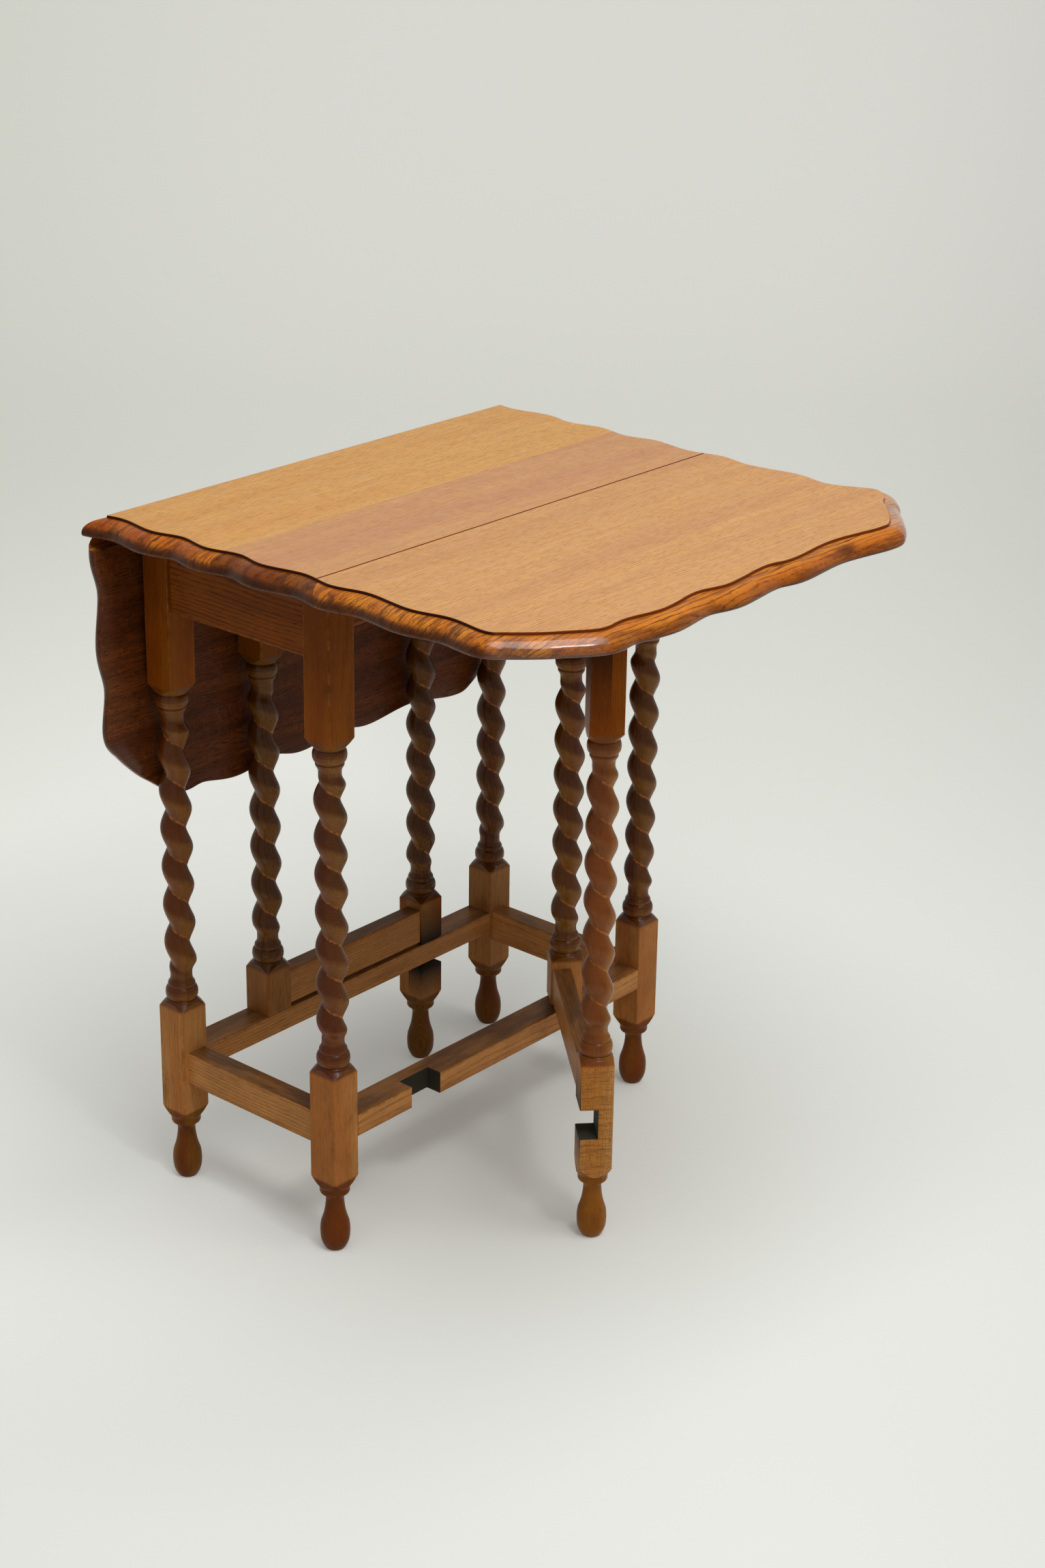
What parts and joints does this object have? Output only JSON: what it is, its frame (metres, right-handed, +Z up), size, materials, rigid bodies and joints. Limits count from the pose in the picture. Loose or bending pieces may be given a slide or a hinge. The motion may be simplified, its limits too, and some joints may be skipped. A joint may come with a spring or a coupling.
{
  "type": "gateleg drop leaf table",
  "caption": "Oak gateleg table with barley-twist legs, a scalloped top with one drop leaf hanging and the other raised on a swung-out gate leg.",
  "frame": {"origin": "on the floor, in the middle of the table's outline with the right leaf raised and the left one hanging", "axes": "+Z up, +Y along the leaf hinges towards the far end, +X across the hinges towards the raised leaf"},
  "size_m": [0.598, 0.6236, 0.73],
  "materials": {
    "oak_gold": "waxed",
    "oak_tan": "waxed",
    "oak_leaf": "waxed",
    "oak_brown": "waxed",
    "oak_dark": "waxed",
    "beech": "bare",
    "steel": "dull"
  },
  "bodies": {
    "frame": {"leg_near_left": "oak_dark", "leg_near_right": "oak_dark", "leg_far_left": "oak_dark", "leg_far_right": "oak_dark", "top_board_wide": "oak_gold", "top_board_narrow": "oak_tan", "apron_end_near": "oak_brown", "apron_end_far": "oak_brown", "apron_side_left": "oak_brown", "apron_side_right": "oak_brown", "stretcher_end_near": "oak_brown", "stretcher_end_far": "oak_brown", "stretcher_side_left": "oak_brown", "stretcher_side_right": "oak_brown", "frame_dowels": "beech", "screw_blocks": "beech", "top_screws": "steel", "top_hinge_plates_left": "steel", "top_hinge_plates_right": "steel", "top_hinge_screws": "steel", "hinge_pins_left": "steel", "hinge_pins_right": "steel", "pivot_pins_left": "steel", "pivot_pins_right": "steel"},
    "gate_left": {"gate_left_pivot_post": "oak_dark", "gate_left_outer_leg": "oak_dark", "gate_left_top_rail": "oak_brown", "gate_left_bottom_rail": "oak_brown", "gate_left_dowels": "beech"},
    "gate_right": {"gate_right_pivot_post": "oak_dark", "gate_right_outer_leg": "oak_dark", "gate_right_top_rail": "oak_brown", "gate_right_bottom_rail": "oak_brown", "gate_right_dowels": "beech"},
    "leaf_left": {"leaf_left_board": "oak_leaf", "leaf_left_hinge_plates": "steel", "leaf_left_hinge_screws": "steel"},
    "leaf_right": {"leaf_right_board": "oak_leaf", "leaf_right_hinge_plates": "steel", "leaf_right_hinge_screws": "steel"}
  },
  "joints": [
    {"name": "leaf_left_hinge", "type": "hinge", "parent": "frame", "child": "leaf_left", "pos_m": [-0.28203, 0, 0.713], "axis": [0, 1, 0], "range_deg": [0, 92.25]},
    {"name": "leaf_right_hinge", "type": "hinge", "parent": "frame", "child": "leaf_right", "pos_m": [0.00097, 0, 0.713], "axis": [0, -1, 0], "range_deg": [0, 1.5]},
    {"name": "gate_right_pivot", "type": "hinge", "parent": "frame", "child": "gate_right", "pos_m": [-0.03152, 0.11139, 0.15], "axis": [0, 0, 1], "range_deg": [-47.4, 42.6]},
    {"name": "gate_left_pivot", "type": "hinge", "parent": "frame", "child": "gate_left", "pos_m": [-0.24952, -0.12061, 0.15], "axis": [0, 0, 1], "range_deg": [0, 0.5]}
  ]
}
